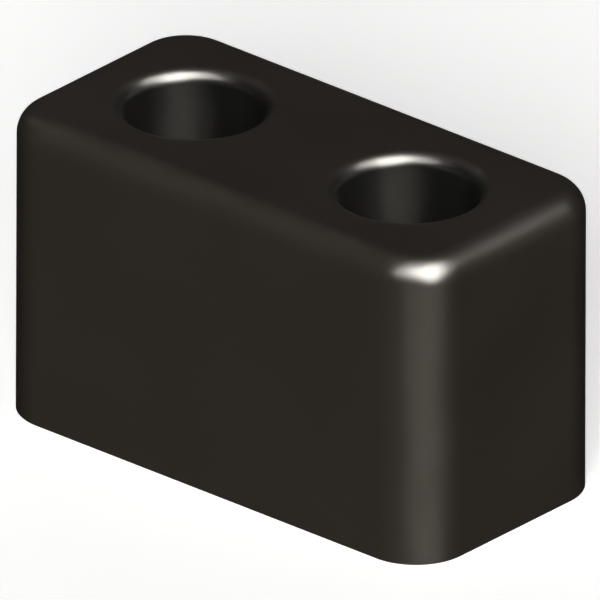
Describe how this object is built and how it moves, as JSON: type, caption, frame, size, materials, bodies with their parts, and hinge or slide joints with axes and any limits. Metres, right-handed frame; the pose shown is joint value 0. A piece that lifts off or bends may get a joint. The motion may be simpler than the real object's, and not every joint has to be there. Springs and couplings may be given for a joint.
{
  "type": "trailer buffer",
  "caption": "Rectangular moulded rubber buffer block with rounded edges, bolted flat to a trailer through two deep stepped holes.",
  "frame": {"origin": "centre of the flat base, which is the face that is bolted to the trailer", "axes": "+X along the block's length and through both holes, +Y across its width, +Z from the base out to the impact face"},
  "size_m": [0.12, 0.06, 0.07],
  "materials": {
    "rubber": "satin, as moulded"
  },
  "bodies": {
    "root": {"buffer_block": "rubber"}
  },
  "joints": []
}
